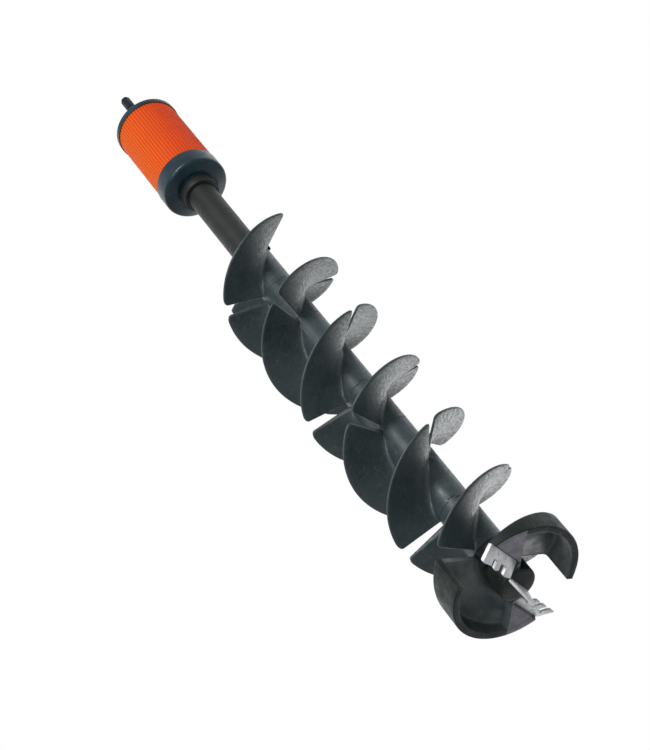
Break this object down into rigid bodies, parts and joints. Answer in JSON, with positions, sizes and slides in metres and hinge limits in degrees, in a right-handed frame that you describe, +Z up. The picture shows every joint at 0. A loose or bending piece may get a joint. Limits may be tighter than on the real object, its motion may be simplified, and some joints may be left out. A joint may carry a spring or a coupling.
{
  "type": "ice fishing auger",
  "caption": "Drill-driven ice auger: chipper head, stacked double-start composite flighting on a tube, orange float between black caps and a round shank for the chuck.",
  "frame": {"origin": "tip of the pilot point, on the auger's axis, at the very bottom", "axes": "+Z up the auger's axis towards the drill shank; +X towards the snap button"},
  "size_m": [0.1492, 0.1516, 1.023],
  "materials": {
    "bright_steel": "zinc-plated, light wear",
    "dark_steel": "black oxide",
    "aluminium_plug": "turned",
    "black_tube": "satin black coat",
    "black_composite": "semi-gloss moulded composite",
    "white_nylon": "machined",
    "orange_plastic": "semi-gloss, fine ribs",
    "black_plastic": "semi-gloss",
    "grey_foam": "closed-cell foam",
    "cast_head": "dark coat over casting",
    "blade_steel": "ground"
  },
  "bodies": {
    "auger": {"drive_shank": "dark_steel", "shank_plug": "aluminium_plug", "shank_cross_pin": "bright_steel", "drive_tube": "black_tube", "lock_collar": "black_composite", "button_guide": "white_nylon", "button_spring": "bright_steel", "flight_module_1": "black_composite", "flight_module_2": "black_composite", "flight_module_3": "black_composite", "flight_module_4": "black_composite", "flight_module_5": "black_composite", "flight_module_6": "black_composite", "flight_module_7": "black_composite", "flight_module_8": "black_composite", "float_collar": "black_tube", "collar_set_screw": "dark_steel", "lower_washer": "black_plastic", "upper_washer": "bright_steel", "retaining_ring": "bright_steel", "cutting_head": "cast_head", "blade_a": "blade_steel", "blade_b": "blade_steel", "blade_screws": "blade_steel", "pilot_point": "blade_steel", "head_bolt": "dark_steel", "head_nut": "dark_steel"},
    "float": {"float_shell": "orange_plastic", "float_core": "grey_foam", "float_bottom_cap": "black_plastic", "float_top_cap": "black_plastic", "float_lower_bush": "white_nylon", "float_upper_bush": "white_nylon"},
    "button": {"snap_button": "dark_steel"}
  },
  "joints": [
    {"name": "float_spin", "type": "hinge", "parent": "auger", "child": "float", "pos_m": [0, 0, 0.874], "axis": [0, 0, 1], "continuous": true},
    {"name": "button_press", "type": "slide", "parent": "auger", "child": "button", "axis": [-1, 0, 0], "range_m": [0, 0.006], "stiffness_N_per_m": 500, "springref_m": -0.004, "deforming": ["button_spring"]}
  ]
}
